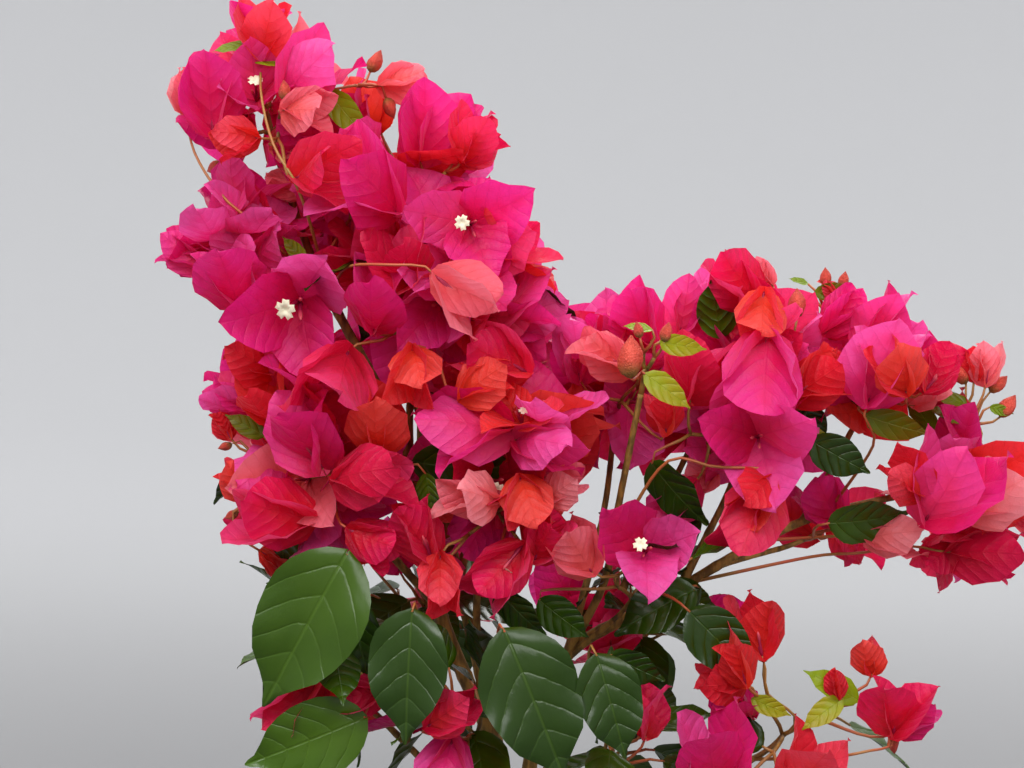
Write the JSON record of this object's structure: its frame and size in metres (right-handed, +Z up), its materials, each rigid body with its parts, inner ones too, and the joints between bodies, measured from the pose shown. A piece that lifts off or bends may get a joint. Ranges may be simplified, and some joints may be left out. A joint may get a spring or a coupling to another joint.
{
  "type": "bougainvillea bush",
  "caption": "Flowering shrub with one short trunk, two leaning leaders, and open sprays of red papery bracts over a skirt of green leaves, rooted at ground level.",
  "frame": {"origin": "centre of the flat cut under the trunk, at ground level", "axes": "+Z up, +X to the right seen from the front, +Y away from the viewer; the front is the side in the picture"},
  "size_m": [0.4786, 0.2063, 0.5396],
  "materials": {
    "bark": "rough olive brown bark",
    "bracts": "thin papery bracts, magenta to scarlet",
    "leaves": "glossy dark green leaves"
  },
  "bodies": {
    "root": {"bough_back_centre": "bark", "bough_back_crest": "bark", "bough_back_left": "bark", "bough_back_low_left": "bark", "bough_back_low_right": "bark", "bough_back_right": "bark", "bough_centre": "bark", "bough_crest": "bark", "bough_flank_left": "bark", "bough_hanging": "bark", "bough_heart": "bark", "bough_low_right": "bark", "bough_right_heart": "bark", "bough_right_inner": "bark", "bough_right_low": "bark", "bough_right_shoulder": "bark", "bough_right_tip": "bark", "bough_shoulder_left": "bark", "bough_skirt_centre": "bark", "bough_skirt_left": "bark", "bough_skirt_right": "bark", "bough_top_left": "bark", "bough_upright": "bark", "spray_back_centre": "bracts", "spray_back_crest": "bracts", "spray_back_left": "bracts", "spray_back_low_left": "leaves", "spray_back_low_right": "leaves", "spray_back_right": "bracts", "spray_centre": "bracts", "spray_crest": "bracts", "spray_flank_left": "bracts", "spray_hanging": "bracts", "spray_heart": "bracts", "spray_low_right": "bracts", "spray_right_heart": "bracts", "spray_right_inner": "bracts", "spray_right_low": "leaves", "spray_right_shoulder": "bracts", "spray_right_tip": "bracts", "spray_shoulder_left": "bracts", "spray_skirt_centre": "leaves", "spray_skirt_left": "leaves", "spray_skirt_right": "leaves", "spray_top_left": "bracts", "spray_upright": "bracts", "trunk": "bark"}
  },
  "joints": []
}
